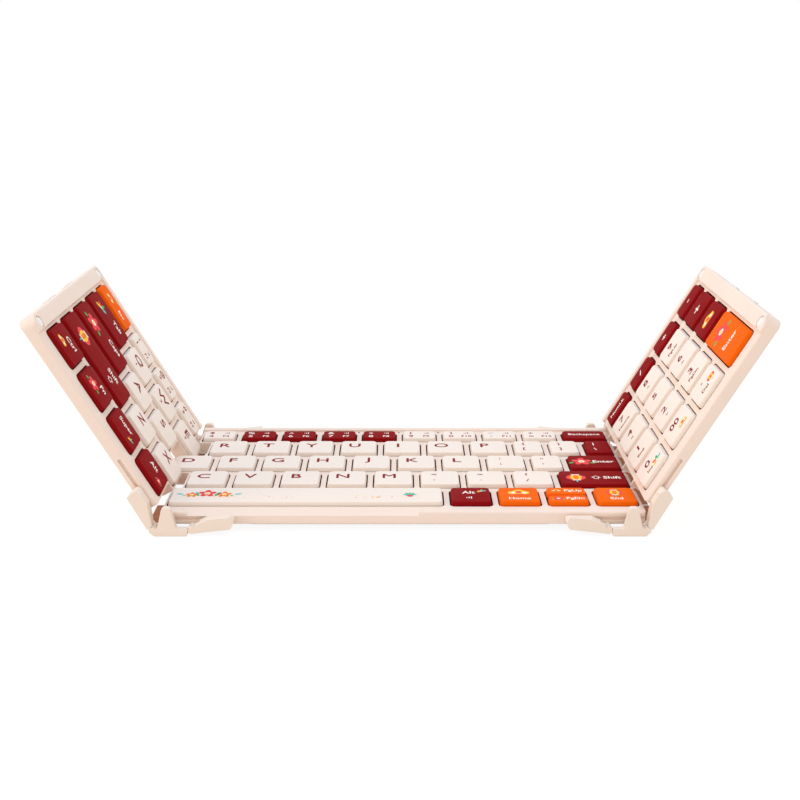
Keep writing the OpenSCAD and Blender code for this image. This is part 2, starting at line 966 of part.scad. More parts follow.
centre_bottom_cover();
centre_deck();
centre_key_plate();
centre_switch_sheet();
centre_scissors();
main_board();
battery();
foot_strips();
charging_port();
indicator_lights();
left_bottom_cover();
left_deck();
left_key_plate();
left_switch_sheet();
left_scissors();
left_pads();
left_bumpers();
right_bottom_cover();
right_deck();
right_key_plate();
right_switch_sheet();
right_scissors();
right_pads();
right_bumpers();
left_sliders();
left_links();
left_hinge_pins();
left_arms();
right_sliders();
right_links();
right_hinge_pins();
right_arms();
esc_key();
left_number_keys();
tab_key();
left_upper_keys();
caps_key();
left_home_keys();
left_shift_key();
left_lower_keys();
modifier_keys();
number_keys();
accent_number_keys();
upper_keys();
backslash_key();
home_keys();
enter_key();
lower_keys();
right_shift_key();
space_bar();
alt_key();
page_keys();
pad_operator_keys();
pad_upper_keys();
pad_middle_keys();
pad_lower_keys();
pad_accent_keys();
pad_enter_key();
pad_zero_keys();
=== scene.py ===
"""Looks for the three-panel folding keyboard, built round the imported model."""
import json
import math
import random

import bmesh
import bpy
from mathutils import Matrix, Vector

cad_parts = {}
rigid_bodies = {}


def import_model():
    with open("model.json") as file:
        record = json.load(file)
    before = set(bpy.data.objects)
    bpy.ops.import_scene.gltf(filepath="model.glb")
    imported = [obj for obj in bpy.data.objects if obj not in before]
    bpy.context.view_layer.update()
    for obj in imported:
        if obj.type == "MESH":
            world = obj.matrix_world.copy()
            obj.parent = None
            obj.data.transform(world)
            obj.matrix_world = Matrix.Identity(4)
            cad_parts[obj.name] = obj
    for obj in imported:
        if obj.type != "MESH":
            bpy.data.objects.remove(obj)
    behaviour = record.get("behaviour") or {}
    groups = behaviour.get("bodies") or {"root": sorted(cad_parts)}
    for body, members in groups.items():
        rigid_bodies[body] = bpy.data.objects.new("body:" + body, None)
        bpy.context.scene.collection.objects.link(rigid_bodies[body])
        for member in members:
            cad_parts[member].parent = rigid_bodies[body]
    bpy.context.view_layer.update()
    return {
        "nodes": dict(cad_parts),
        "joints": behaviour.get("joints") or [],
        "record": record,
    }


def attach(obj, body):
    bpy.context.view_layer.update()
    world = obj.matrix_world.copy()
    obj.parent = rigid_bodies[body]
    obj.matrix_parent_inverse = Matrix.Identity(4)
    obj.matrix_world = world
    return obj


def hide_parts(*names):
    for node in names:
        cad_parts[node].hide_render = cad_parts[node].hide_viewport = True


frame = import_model()
NODES = frame["nodes"]
RECORD = frame["record"]
MM = 0.001


def joint_where(field, value):
    """The frame's joint whose field has this value."""
    return next(joint for joint in frame["joints"] if joint[field] == value)


# --- Camera: fitted to the key seams of the photograph --------------------

SENSOR = 36.0
PHOTO_SIZE = 800
FOCAL_PX = 1199.16
CAMERA_BACK = 0.4487
CAMERA_UP = 0.1689
CAMERA_PITCH = 17.24
CLIP_NEAR = 0.02
CLIP_FAR = 20
# The fit's origin lay on the centre deck at the home row's front edge
FIT_ORIGIN_Y = -0.0049
FIT_ORIGIN_Z = 0.0075


def make_camera():
    """A camera on the frame's middle plane, pitched down."""
    data = bpy.data.cameras.new("camera")
    data.sensor_width = SENSOR
    data.lens = FOCAL_PX / PHOTO_SIZE * SENSOR
    camera = bpy.data.objects.new("camera", data)
    bpy.context.scene.collection.objects.link(camera)
    camera.location = (0, FIT_ORIGIN_Y - CAMERA_BACK, FIT_ORIGIN_Z + CAMERA_UP)
    camera.rotation_euler = (math.radians(90 - CAMERA_PITCH), 0, 0)
    data.clip_start = CLIP_NEAR
    data.clip_end = CLIP_FAR
    bpy.context.scene.camera = camera


# --- Materials -------------------------------------------------------------

# Noise scales, in cells per metre
TONE_CELLS = 45
SMEAR_CELLS = 180
GRAIN_CELLS = 5200
BLOT_CELLS = 900
METAL_CELLS = 1400
# The part of a noise's range that most of its values fill
NOISE_LOW = 0.3
NOISE_HIGH = 0.7
GRAIN_STRENGTH = 0.35
# Degrees between two faces up to which their edge is shaded smooth
SMOOTH_BELOW = 32
KEY_SMOOTH_BELOW = 40


def srgb(r, g, b):
    """A colour given as it looks on screen, 0 to 255, as linear values."""
    def linear(level):
        share = level / 255
        return share / 12.92 if share <= 0.04045 else ((share + 0.055) / 1.055) ** 2.4

    return (linear(r), linear(g), linear(b), 1)


def new_material(name):
    material = bpy.data.materials.new(name)
    material.use_nodes = True
    tree = material.node_tree
    return material, tree, tree.nodes["Principled BSDF"]


def noise(tree, cells, detail):
    """Output of 3-D noise in object coordinates, which are in metres."""
    place = tree.nodes.new("ShaderNodeTexCoord")
    node = tree.nodes.new("ShaderNodeTexNoise")
    node.inputs["Scale"].default_value = cells
    node.inputs["Detail"].default_value = detail
    tree.links.new(place.outputs["Object"], node.inputs["Vector"])
    return node.outputs["Fac"]


def vary(tree, source, low, high):
    """Maps a noise to the range low to high."""
    node = tree.nodes.new("ShaderNodeMapRange")
    node.inputs["From Min"].default_value = NOISE_LOW
    node.inputs["From Max"].default_value = NOISE_HIGH
    node.inputs["To Min"].default_value = low
    node.inputs["To Max"].default_value = high
    tree.links.new(source, node.inputs["Value"])
    return node.outputs["Result"]


def mottle(tree, shader, cells, colour, darken, lighten):
    """Varies the base colour between two tones of one colour."""
    mix = tree.nodes.new("ShaderNodeMix")
    mix.data_type = "RGBA"
    mix.inputs["A"].default_value = tuple(c * (1 - darken) for c in colour[:3]) + (1,)
    mix.inputs["B"].default_value = tuple(min(1, c * (1 + lighten)) for c in colour[:3]) + (1,)
    tree.links.new(noise(tree, cells, 2), mix.inputs["Factor"])
    tree.links.new(mix.outputs["Result"], shader.inputs["Base Color"])


def plastic(name, colour, rough=0.5, grain=0.02 * MM, tint=0.03, shine=0.25, translucence=0.0):
    """Moulded plastic: fine spark-eroded grain, slight change of tone and gloss."""
    material, tree, shader = new_material(name)
    mottle(tree, shader, TONE_CELLS, colour, tint, tint)
    smear = vary(tree, noise(tree, SMEAR_CELLS, 3), rough - 0.04, rough + 0.05)
    tree.links.new(smear, shader.inputs["Roughness"])
    bump = tree.nodes.new("ShaderNodeBump")
    bump.inputs["Strength"].default_value = GRAIN_STRENGTH
    bump.inputs["Distance"].default_value = grain
    tree.links.new(noise(tree, GRAIN_CELLS, 2), bump.inputs["Height"])
    tree.links.new(bump.outputs["Normal"], shader.inputs["Normal"])
    shader.inputs["Specular IOR Level"].default_value = shine
    if translucence:
        shader.inputs["Subsurface Weight"].default_value = translucence
        shader.inputs["Subsurface Radius"].default_value = (1.0, 0.4, 0.25)
        shader.inputs["Subsurface Scale"].default_value = 1 * MM
    return material


def printed(name, colour):
    """Legend ink: matt, with a faint unevenness."""
    material, tree, shader = new_material(name)
    mottle(tree, shader, BLOT_CELLS, colour, 0.06, 0.04)
    shader.inputs["Roughness"].default_value = 0.6
    shader.inputs["Specular IOR Level"].default_value = 0.1
    return material


def metal(name, colour, rough):
    """Rolled or turned metal with an uneven gloss."""
    material, tree, shader = new_material(name)
    shader.inputs["Base Color"].default_value = colour
    shader.inputs["Metallic"].default_value = 1
    gloss = vary(tree, noise(tree, METAL_CELLS, 4), rough - 0.08, rough + 0.1)
    tree.links.new(gloss, shader.inputs["Roughness"])
    return material


CREAM = srgb(240, 219, 203)
PAINT = {
    "case": plastic("case_cream", CREAM, 0.52, 0.03 * MM),
    "hinge": plastic("hinge_cream", srgb(237, 219, 202), 0.5, 0.02 * MM),
    "cream": plastic("key_cream", srgb(242, 227, 213), 0.5, 0.01 * MM, 0.015),
    "red": plastic("key_red", srgb(138, 10, 14), 0.6, 0.01 * MM, 0.06, 0.05),
    "orange": plastic("key_orange", srgb(244, 100, 4), 0.6, 0.01 * MM, 0.03, 0.06),
    "plate": metal("plate_metal", srgb(52, 44, 40), 0.5),
    "pin": metal("pin_steel", srgb(190, 188, 186), 0.25),
    "port": metal("port_metal", srgb(205, 205, 208), 0.22),
    "sheet": plastic("switch_sheet", srgb(34, 26, 22), 0.7, shine=0.1),
    "scissor": plastic("scissor_grey", srgb(60, 50, 44), 0.6, shine=0.1),
    # Painted shade: the gap linings stand in for the shade round the keys, near black on the
    # centre panel and warm brown on the wings
    "shade_liner": plastic("gap_shade_liner", srgb(42, 24, 18), 0.8, shine=0.05),
    "warm_shade_liner": plastic("wing_gap_shade_liner", srgb(128, 76, 54), 0.8, shine=0.05),
    # Painted shade: the seam pieces are brown where the shade in the seams' pockets falls
    "seam_shade": plastic("seam_painted_shade", srgb(172, 120, 94), 0.75, 0.03 * MM, 0.05, 0.08),
    "board": plastic("circuit_green", srgb(20, 80, 48), 0.35, tint=0.12),
    "battery": plastic("battery_foil", srgb(150, 153, 160), 0.3, tint=0.08),
    "foot": plastic("foot_rubber", srgb(228, 204, 184), 0.75, 0.04 * MM),
    "light": plastic("light_lens", srgb(18, 14, 13), 0.3, 0.0),
    "pad": plastic("pad_silicone", srgb(238, 232, 226), 0.32, 0.0, 0.01, 0.4, 0.3),
    "ink_red": printed("ink_red", srgb(138, 14, 18)),
    "ink_white": printed("ink_white", srgb(250, 240, 230)),
    "ink_yellow": printed("ink_yellow", srgb(252, 205, 60)),
    "ink_orange": printed("ink_orange", srgb(246, 128, 24)),
    "ink_pink": printed("ink_pink", srgb(238, 76, 80)),
    "ink_teal": printed("ink_teal", srgb(84, 196, 196)),
    "ink_green": printed("ink_green", srgb(70, 180, 92)),
    "ink_blush": printed("ink_blush", srgb(238, 205, 184)),
}

# Paint by the ending of a node's name
NODE_PAINT = {
    "key_plate": "plate", "switch_sheet": "sheet", "scissors": "scissor",
    "main_board": "board", "battery": "battery", "foot_strips": "foot",
    "charging_port": "port", "indicator_lights": "light", "hinge_pins": "pin",
    "pads": "pad", "bumpers": "pad", "links": "hinge", "sliders": "hinge",
    "arms": "hinge", "deck": "case", "bottom_cover": "case",
}


def paint(obj, material):
    obj.data.materials.clear()
    obj.data.materials.append(material)


def paint_nodes():
    for name, obj in NODES.items():
        for ending, key in NODE_PAINT.items():
            if name.endswith(ending):
                paint(obj, PAINT[key])
                shade_by_angle(obj)
                break


def shade_by_angle(obj, degrees=SMOOTH_BELOW):
    """Smooth shading that keeps corners sharper than the angle."""
    mesh = obj.data
    mesh.shade_smooth()
    mesh.set_sharp_from_angle(angle=math.radians(degrees))


# --- Reading the keys out of the frame -------------------------------------

def press_axes(node):
    """Right, back and up directions of a key's panel, from its press joint."""
    up = -Vector(joint_where("child", node)["axis"]).normalized()
    back = Vector((0, 1, 0))
    right = back.cross(up).normalized()
    return Matrix((right, back, up))


def islands(mesh, turn):
    """Boxes of a mesh's separate solids, as (low, high) in turned coordinates."""
    points = [turn @ v.co for v in mesh.vertices]
    spots = [tuple(round(c, 6) for c in v.co) for v in mesh.vertices]
    first = {}
    parent = list(range(len(points)))

    def root(i):
        while parent[i] != i:
            parent[i] = parent[parent[i]]
            i = parent[i]
        return i

    for i, spot in enumerate(spots):
        parent[root(i)] = root(first.setdefault(spot, i))
    for edge in mesh.edges:
        parent[root(edge.vertices[0])] = root(edge.vertices[1])
    groups = {}
    for i, point in enumerate(points):
        groups.setdefault(root(i), []).append(point)
    boxes = []
    for group in groups.values():
        low = Vector([min(axis) for axis in zip(*group)])
        high = Vector([max(axis) for axis in zip(*group)])
        boxes.append((low, high))
    return sorted(boxes, key=lambda b: (round(b[0].x, 4), b[0].y))


# --- Keys ------------------------------------------------------------------

KEY_CORNER = 1.7 * MM
KEY_SLANT = 0.3 * MM
KEY_ROUND = 0.4 * MM
KEY_SKIRT = 1.6 * MM
KEY_WALL = 1.0 * MM
KEY_ROOF = 0.9 * MM
# How much a corner's radius shrinks for each millimetre that its loop moves in
CORNER_SHRINK = 0.45
SMALLEST_RADIUS = 0.05 * MM
CORNER_STEPS = 7
ROUND_STEPS = 4


def corner_loop(width, depth, radius, z):
    """A rounded rectangle's points, anticlockwise from the right front corner."""
    points = []
    radius = max(radius, SMALLEST_RADIUS)
    for cx, cy, start in ((1, -1, -90), (1, 1, 0), (-1, 1, 90), (-1, -1, 180)):
        for i in range(CORNER_STEPS):
            a = math.radians(start + 90 * i / (CORNER_STEPS - 1))
            points.append(Vector((cx * (width / 2 - radius) + radius * math.cos(a),
                                  cy * (depth / 2 - radius) + radius * math.sin(a), z)))
    return points


def key_loops(width, depth, low, high):
    """Loops of a hollow key from the inner roof, round the skirt, to the top."""
    def loop(inset, z):
        return corner_loop(width - 2 * inset, depth - 2 * inset,
                           KEY_CORNER - CORNER_SHRINK * inset, z)

    skirt_z = high - KEY_SKIRT
    edge_z = high - KEY_ROUND
    loops = [loop(KEY_WALL, high - KEY_ROOF), loop(KEY_WALL, low), loop(0, low),
             loop(0, skirt_z), loop(KEY_SLANT / 2, (skirt_z + edge_z) / 2)]
    for i in range(ROUND_STEPS + 1):
        a = math.pi / 2 * i / ROUND_STEPS
        loops.append(loop(KEY_SLANT + KEY_ROUND * (1 - math.cos(a)),
                          edge_z + KEY_ROUND * math.sin(a)))
    return loops


def add_geometry(verts, faces, more_verts, more_faces):
    """Adds a shape to the lists of one mesh."""
    faces += [[i + len(verts) for i in face] for face in more_faces]
    verts += more_verts


def loop_sides(a, b, n):
    """Faces between two loops of n points that start at vertices a and b."""
    return [[a + i, a + (i + 1) % n, b + (i + 1) % n, b + i] for i in range(n)]


def place_loops(loops, box, back):
    """Points of loops set round a box's middle and turned into the frame."""
    low, high = box
    mid = Vector(((low.x + high.x) / 2, (low.y + high.y) / 2, 0))
    return [back @ (point + mid) for loop in loops for point in loop]


def key_geometry(box, back):
    """Vertices and faces of one key in the frame."""
    low, high = box
    loops = key_loops(high.x - low.x, high.y - low.y, low.z, high.z)
    n = len(loops[0])
    last = (len(loops) - 1) * n
    faces = [list(range(n))]
    for start in range(0, last, n):
        faces += loop_sides(start, start + n, n)
    faces.append(list(range(last, last + n)))
    return place_loops(loops, box, back), faces


def mesh_object(name, verts, faces, material):
    """An object in the scene, with one material."""
    mesh = bpy.data.meshes.new(name)
    mesh.from_pydata([tuple(v) for v in verts], [], faces)
    mesh.validate()
    obj = bpy.data.objects.new(name, mesh)
    bpy.context.scene.collection.objects.link(obj)
    mesh.materials.append(material)
    return obj


def recalc_normals(obj):
    """Turns every face outwards."""
    bm = bmesh.new()
    bm.from_mesh(obj.data)
    bmesh.ops.recalc_face_normals(bm, faces=bm.faces)
    bm.to_mesh(obj.data)
    bm.free()


def make_keys(node, boxes, turn, material):
    """Rounded hollow keys in place of a node's plain ones."""
    verts, faces = [], []
    for box in boxes:
        add_geometry(verts, faces, *key_geometry(box, turn.transposed()))
    obj = mesh_object(node + "_caps", verts, faces, material)
    recalc_normals(obj)
    shade_by_angle(obj, KEY_SMOOTH_BELOW)
    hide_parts(node)
    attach(obj, node)


# A dark lining round each opening is painted shade in the gap round each key, and hides the
# opening's cut edge
LINER_GAP = 0.44 * MM
LINER_WALL = 0.06 * MM
LINER_CORNER = KEY_CORNER + 0.3 * MM
LINER_TOP = 1.75 * MM
LINER_DEPTH = 2.2 * MM


def liner_geometry(box, back):
    """Vertices and faces of the lining round one key, open above and below."""
    low, high = box
    top = high.z - LINER_TOP
    bottom = top - LINER_DEPTH
    loops = []
    for inset, z in ((0, top), (0, bottom), (LINER_WALL, bottom), (LINER_WALL, top)):
        spread = 2 * (LINER_GAP - inset)
        loops.append(corner_loop(high.x - low.x + spread, high.y - low.y + spread,
                                 LINER_CORNER - inset, z))
    n = len(loops[0])
    faces = []
    for k in range(len(loops)):
        faces += loop_sides(k * n, (k + 1) % len(loops) * n, n)
    return place_loops(loops, box, back), faces


def make_liners(node, boxes, turn):
    """Linings of a node's openings, painted shade in the gaps round its keys, which stay with
    the panel.
    """
    verts, faces = [], []
    for box in boxes:
        add_geometry(verts, faces, *liner_geometry(box, turn.transposed()))
    panel = joint_where("child", node)["parent"]
    # Painted shade: a near black lining on the centre panel, a warm brown one on the wings
    obj = mesh_object(node + "_shade_liners", verts, faces,
                      PAINT["shade_liner" if panel == "centre" else "warm_shade_liner"])
    recalc_normals(obj)
    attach(obj, panel)


# --- Legends ---------------------------------------------------------------

INK_DEPTH = 0.03 * MM
INK_SINK = 0.012 * MM
INK_LAYER = INK_DEPTH / 2
# Copies thicken a letter: each is shifted by BOLD of its size, and lifted so
# that no two faces lie in one plane
BOLD = 0.02
COPY_LIFT = 0.004 * MM
WIDEN_LETTER = 1.25
WIDEN_WORD = 1.1


def text_geometry(words, size):
    """A flat text's shape, centred on its middle, from four shifted copies."""
    curve = bpy.data.curves.new("words", "FONT")
    curve.body = words
    curve.size = size
    curve.resolution_u = 3
    curve.extrude = INK_DEPTH / 2
    obj = bpy.data.objects.new("words", curve)
    bpy.context.scene.collection.objects.link(obj)
    bpy.context.view_layer.update()
    made = obj.evaluated_get(bpy.context.evaluated_depsgraph_get())
    mesh = made.to_mesh()
    points = [v.co.copy() for v in mesh.vertices]
    polygons = [list(p.vertices) for p in mesh.polygons]
    made.to_mesh_clear()
    bpy.data.objects.remove(obj)
    bpy.data.curves.remove(curve)
    cx = (min(p.x for p in points) + max(p.x for p in points)) / 2
    cy = (min(p.y for p in points) + max(p.y for p in points)) / 2
    step = BOLD * size
    widen = WIDEN_LETTER if len(words) == 1 else WIDEN_WORD
    verts, faces = [], []
    for k, (dx, dy) in enumerate(((1, 0), (-1, 0), (0, 1), (0, -1))):
        shifted = [Vector(((p.x - cx) * widen + dx * step, p.y - cy + dy * step,
                           p.z + k * COPY_LIFT)) for p in points]
        add_geometry(verts, faces, shifted, polygons)
    return verts, faces


def disc_geometry(rx, ry, n=16, angle=0.0):
    """A thin oval with n sides, turned by angle."""
    ring = []
    for i in range(n):
        a = 2 * math.pi * i / n
        ring.append((rx * math.cos(a), ry * math.sin(a)))
    return slab(turned(ring, angle))


def turned(ring, angle):
    """An outline's points turned round its origin."""
    c, s = math.cos(angle), math.sin(angle)
    return [(x * c - y * s, x * s + y * c) for x, y in ring]


def slab(ring):
    """A closed thin slab from an outline."""
    n = len(ring)
    points = [Vector((x, y, z)) for z in (-INK_DEPTH / 2, INK_DEPTH / 2) for x, y in ring]
    return points, [list(range(n))[::-1], list(range(n, 2 * n))] + loop_sides(0, n, n)


class Print:
    """Gathers the printed shapes of one key group by ink."""

    def __init__(self, turn, ink):
        self.back = turn.transposed()
        self.ink = ink
        self.inks = {}

    def add(self, ink, geometry, at, layer=0):
        """Adds a shape at a point of the key's top, in a layer above the first."""
        points, shape_faces = geometry
        verts, faces = self.inks.setdefault(ink, ([], []))
        height = Vector((0, 0, INK_DEPTH / 2 - INK_SINK + layer * INK_LAYER))
        add_geometry(verts, faces, [self.back @ (at + p + height) for p in points], shape_faces)

    def build(self, node):
        """Makes one piece from each ink's shapes, which rides on the keys."""
        for ink, (verts, faces) in self.inks.items():
            obj = mesh_object(f"{node}_{ink}", verts, faces, PAINT[ink])
            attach(obj, node)


LETTER = 6.2 * MM
SMALL = 3.4 * MM
TINY = 2.7 * MM
WORD = 3.6 * MM
SLOTS = {s["node"]: s["material_slot"] for s in RECORD["subparts"]}
KEY_COLOUR = {"red_key": "red", "orange_key": "orange", "cream_key": "cream"}

# Each key's print is a list of (mark, size, u, v), where the mark is a text or
# the name of a motif, and u and v run from -1 to 1 across the key's top. A
# group's keys are listed from left to right, and front to back in a column.


def letter(words, second=None):
    """A large letter, and a small mark in front of it."""
    marks = [(words, LETTER, -0.22, 0.2)]
    return marks + ([(second, TINY, -0.22, -0.42)] if second else [])


def two(back_mark, front_mark):
    """Two small marks, one in front of the other."""
    return [(back_mark, SMALL, -0.3, 0.42), (front_mark, SMALL, -0.3, -0.38)]


def number(back_mark, front_mark, extra):
    """Two small marks at the left, a tiny one and a motif at the right."""
    return [(back_mark, SMALL, -0.5, 0.36), (front_mark, SMALL, -0.5, -0.42),
            (extra, TINY, 0.42, -0.42), ("bars", 1.1 * MM, 0.42, 0.34)]


def word(words, size=WORD, u=0.0, v=0.0):
    """One text in the middle, or at u and v."""
    return [(words, size, u, v)]


def pad(words, second=None):
    """A number pad key: a large number, and a tiny mark in front of it."""
    marks = [(words, LETTER * 0.85, -0.1, 0.3)]
    return marks + ([(second, TINY, -0.1, -0.42)] if second else [])


LEGENDS = {
    "number_keys": [number("$", "4", "F4"), number("(", "9", "F9"), number(")", "0", "F10"),
                    number("_", "-", "F11"), number("+", "=", "F12")],
    "accent_number_keys": [number("%", "5", "F5"), number("^", "6", "F6"),
                           number("&", "7", "F7"), number("*", "8", "F8"),
                           word("Backspace", 3.0 * MM)],
    "upper_keys": [letter(c) for c in "RTYUIOP"] + [two("{", "["), two("}", "]")],
    "backslash_key": [two("|", "\\")],
    "home_keys": [letter(c) for c in "DFGHJKL"] + [two(":", ";"), two('"', "'")],
    "enter_key": [word("Enter", WORD, 0.38) + [("blossom", 4.4 * MM, -0.5, 0.0)]],
    "lower_keys": [letter(c) for c in "CVBNM"] + [two("<", ","), two(">", "."), two("?", "/")],
    "right_shift_key": [word("Shift", WORD, 0.56) + [("arrow", 1.7 * MM, 0.08, 0.0),
                                                     ("lantern", 4.6 * MM, -0.52, 0.0)]],
    "space_bar": [[("spray", 3.8 * MM, -0.68, 0.05), ("sprig", 2.9 * MM, 0.76, -0.1),
                   ("specks", 5.0 * MM, -0.4, -0.25), ("specks", 4.0 * MM, 0.56, -0.3)]],
    "alt_key": [word("Alt", WORD, -0.1, 0.3) + [("leaves", 2.2 * MM, 0.55, 0.45),
                                                ("bars", 1.2 * MM, -0.1, -0.4)]],
    "page_keys": [word("Home", 3.0 * MM, 0, -0.48) + [("cloud", 4.2 * MM, 0, 0.25)],
                  word("PgDn", 2.9 * MM, 0.35) + [("blossom", 2.2 * MM, -0.5, 0.0)],
                  word("PgUp", 2.9 * MM, 0.35) + [("cloud", 1.9 * MM, -0.5, 0.0)],
                  word("End", 3.0 * MM, 0, -0.48) + [("lantern", 3.8 * MM, 0, 0.28)]],
    "esc_key": [word("Esc", 3.0 * MM, 0.4) + [("cloud", 2.6 * MM, -0.4, 0.0)]],
    "left_number_keys": [number("!", "1", "F1"), number("@", "2", "F2"), number("#", "3", "F3")],
    "tab_key": [word("Tab", WORD, 0.4, 0.3) + [("leaves", 3.8 * MM, -0.45, -0.1)]],
    "left_upper_keys": [letter("Q", "1"), letter("W", "2"), letter("E", "3")],
    "caps_key": [word("Caps", WORD, 0.42, 0.4) + [("blossom", 4.6 * MM, -0.42, -0.05)]],
    "left_home_keys": [letter("A"), letter("S")],
    "left_shift_key": [word("Shift", WORD, 0.45, 0.3) + [("lantern", 4.8 * MM, -0.5, 0.0),
                                                         ("arrow", 1.6 * MM, 0.45, -0.35)]],
    "left_lower_keys": [letter("Z"), letter("X")],
    "modifier_keys": [word("Ctrl", WORD, 0.1, 0.35) + [("cloud", 2.6 * MM, -0.3, -0.4)],
                      word("Fn", WORD, 0.3, 0.4) + [("blossom", 3.4 * MM, -0.25, -0.2)],
                      word("Super", 3.2 * MM, -0.1, 0.2) + [("leaves", 2.0 * MM, 0.5, -0.4)],
                      word("Alt", WORD, -0.1, 0.3) + [("blossom", 1.8 * MM, 0.5, -0.35)]],
    "pad_operator_keys": [word("NumLk", 3.0 * MM), word("/", LETTER * 0.8),
                          word("*", LETTER * 0.8), word("-", LETTER * 0.8)],
    "pad_upper_keys": [pad("7", "Home"), pad("8", "^"), pad("9", "PgUp")],
    "pad_middle_keys": [pad("4", "<"), pad("5"), pad("6", ">")],
    "pad_lower_keys": [pad("1", "End"), pad("2", "v"), pad("3", "PgDn")],
    "pad_accent_keys": [[("cloud", 4.0 * MM, 0, 0)], word("+", LETTER)],
    "pad_enter_key": [word("Enter", 3.6 * MM, 0, -0.3) + [("blossom", 4.8 * MM, 0, 0.42)]],
    "pad_zero_keys": [pad("0", "Ins") + [("leaves", 3.2 * MM, 0.5, -0.4)],
                      pad("00") + [("cloud", 2.5 * MM, 0.35, -0.45)],
                      pad(".", "Del") + [("lantern", 2.6 * MM, 0.5, -0.1)]],
}


def top_point(box, u, v):
    """A point on a key's top, u and v from -1 to 1 across it."""
    low, high = box
    mid, half = (low + high) / 2, (high - low) / 2
    return Vector((mid.x + u * half.x, mid.y + v * half.y, high.z))


# --- Printed motifs: flowers, leaves, clouds and lanterns of our own --------

# Each is drawn on a sheet round a point of a key's top, with r as its half size
LEAF_STEPS = 7
LEAF_FULLNESS = 0.8
ARROW_LINE = 0.2
SPECKS = 22


def leaf(length, width, angle):
    """A pointed oval from its stalk, turned by angle."""
    ring = []
    for side in (1, -1):
        for i in range(LEAF_STEPS):
            t = i / LEAF_STEPS if side == 1 else 1 - i / LEAF_STEPS
            ring.append((t * length, -side * width / 2 * math.sin(math.pi * t) ** LEAF_FULLNESS))
    return slab(turned(ring, angle))


def bar(width, height):
    return slab([(-width / 2, -height / 2), (width / 2, -height / 2),
                 (width / 2, height / 2), (-width / 2, height / 2)])


def polar(r, angle):
    return Vector((r * math.cos(angle), r * math.sin(angle), 0))


def draw_blossom(sheet, at, r, ink="ink_pink"):
    for a in (math.radians(90 + 72 * k) for k in range(5)):
        sheet.add(ink, disc_geometry(0.42 * r, 0.3 * r, angle=a), at + polar(0.5 * r, a), 1)
    sheet.add("ink_white", disc_geometry(0.3 * r, 0.3 * r), at, 2)
    sheet.add("ink_yellow", disc_geometry(0.18 * r, 0.18 * r), at, 3)
    for a in (math.radians(200), math.radians(340)):
        sheet.add("ink_green", leaf(0.55 * r, 0.28 * r, a), at + polar(0.75 * r, a))


# Puffs as (x, y, radius, ink, layer)
CLOUD = ((-0.55, 0, 0.42, "ink_yellow", 0), (0, 0.22, 0.55, "ink_yellow", 1),
         (0.55, 0, 0.42, "ink_yellow", 2), (0, 0.14, 0.3, "ink_pink", 3),
         (-0.5, -0.02, 0.2, "ink_white", 4), (0.5, -0.02, 0.2, "ink_white", 4))


def draw_cloud(sheet, at, r):
    for x, y, size, ink, layer in CLOUD:
        puff = disc_geometry(size * r, size * r * 0.85)
        sheet.add(ink, puff, at + Vector((x, y, 0)) * r, layer)
    sheet.add("ink_pink", bar(1.9 * r, 0.14 * r), at + Vector((0, -0.42 * r, 0)), 1)


def draw_lantern(sheet, at, r):
    sheet.add("ink_pink", disc_geometry(0.85 * r, 0.62 * r), at)
    for k, ink, layer in ((0.5, "ink_yellow", 1), (0.22, "ink_orange", 2)):
        sheet.add(ink, disc_geometry(k * r, 0.6 * r * (1 - 0.1 * k)), at, layer)
    for y in (-0.62, 0.62):
        sheet.add("ink_white", bar(0.7 * r, 0.14 * r), at + Vector((0, y * r, 0)), 3)
    sheet.add("ink_teal", bar(0.12 * r, 0.4 * r), at + Vector((0, -0.88 * r, 0)), 3)


def draw_leaves(sheet, at, r):
    for k, ink in enumerate(("ink_teal", "ink_green", "ink_pink", "ink_yellow")):
        sheet.add(ink, leaf(0.95 * r, 0.4 * r, math.radians(20 + 62 * k)), at, k)
    sheet.add("ink_white", disc_geometry(0.16 * r, 0.16 * r), at, 4)


def draw_spray(sheet, at, r):
    for dx, dy, size in ((-2.2, -0.15, 0.7), (-0.7, 0.2, 1.0), (1.0, -0.05, 0.8)):
        draw_blossom(sheet, at + Vector((dx * r, dy * r, 0)), size * r,
                     "ink_pink" if size == 1 else "ink_orange")
    for dx, turn in ((-1.5, 120), (0.2, 60), (2.0, 20), (-3.0, 160)):
        sheet.add("ink_teal", leaf(0.8 * r, 0.3 * r, math.radians(turn)),
                  at + Vector((dx * r, -0.1 * r, 0)), 1)


def draw_sprig(sheet, at, r):
    for k in range(5):
        sheet.add("ink_green" if k % 2 else "ink_teal",
                  leaf(1.0 * r, 0.42 * r, math.radians(20 + 35 * k)), at, k)
    sheet.add("ink_pink", disc_geometry(0.4 * r, 0.3 * r), at + Vector((0, -0.2 * r, 0)), 5)


def draw_specks(sheet, at, r):
    rng = random.Random(round(at.x * 1e4))
    for _ in range(SPECKS):
        spot = at + Vector((rng.uniform(-3.4, 3.4) * r, rng.uniform(-0.35, 0.3) * r, 0))
        size = rng.uniform(0.12, 0.3) * MM
        sheet.add(rng.choice(("ink_blush", "ink_yellow", "ink_orange")),
                  disc_geometry(size * 1.5, size, 8), spot)


def draw_arrow(sheet, at, r):
    """An outlined arrow that points to the back."""
    head = [(-1, 0), (0, 1), (1, 0), (0.5, 0), (0.5, -0.8), (-0.5, -0.8), (-0.5, 0)]
    corners = [Vector(corner) * r for corner in head]
    for start, end in zip(corners, corners[1:] + corners[:1]):
        run = end - start
        side = Vector((-run.y, run.x)).normalized() * ARROW_LINE * r / 2
        sheet.add("ink_white", slab([start - side, end - side, end + side, start + side]), at)


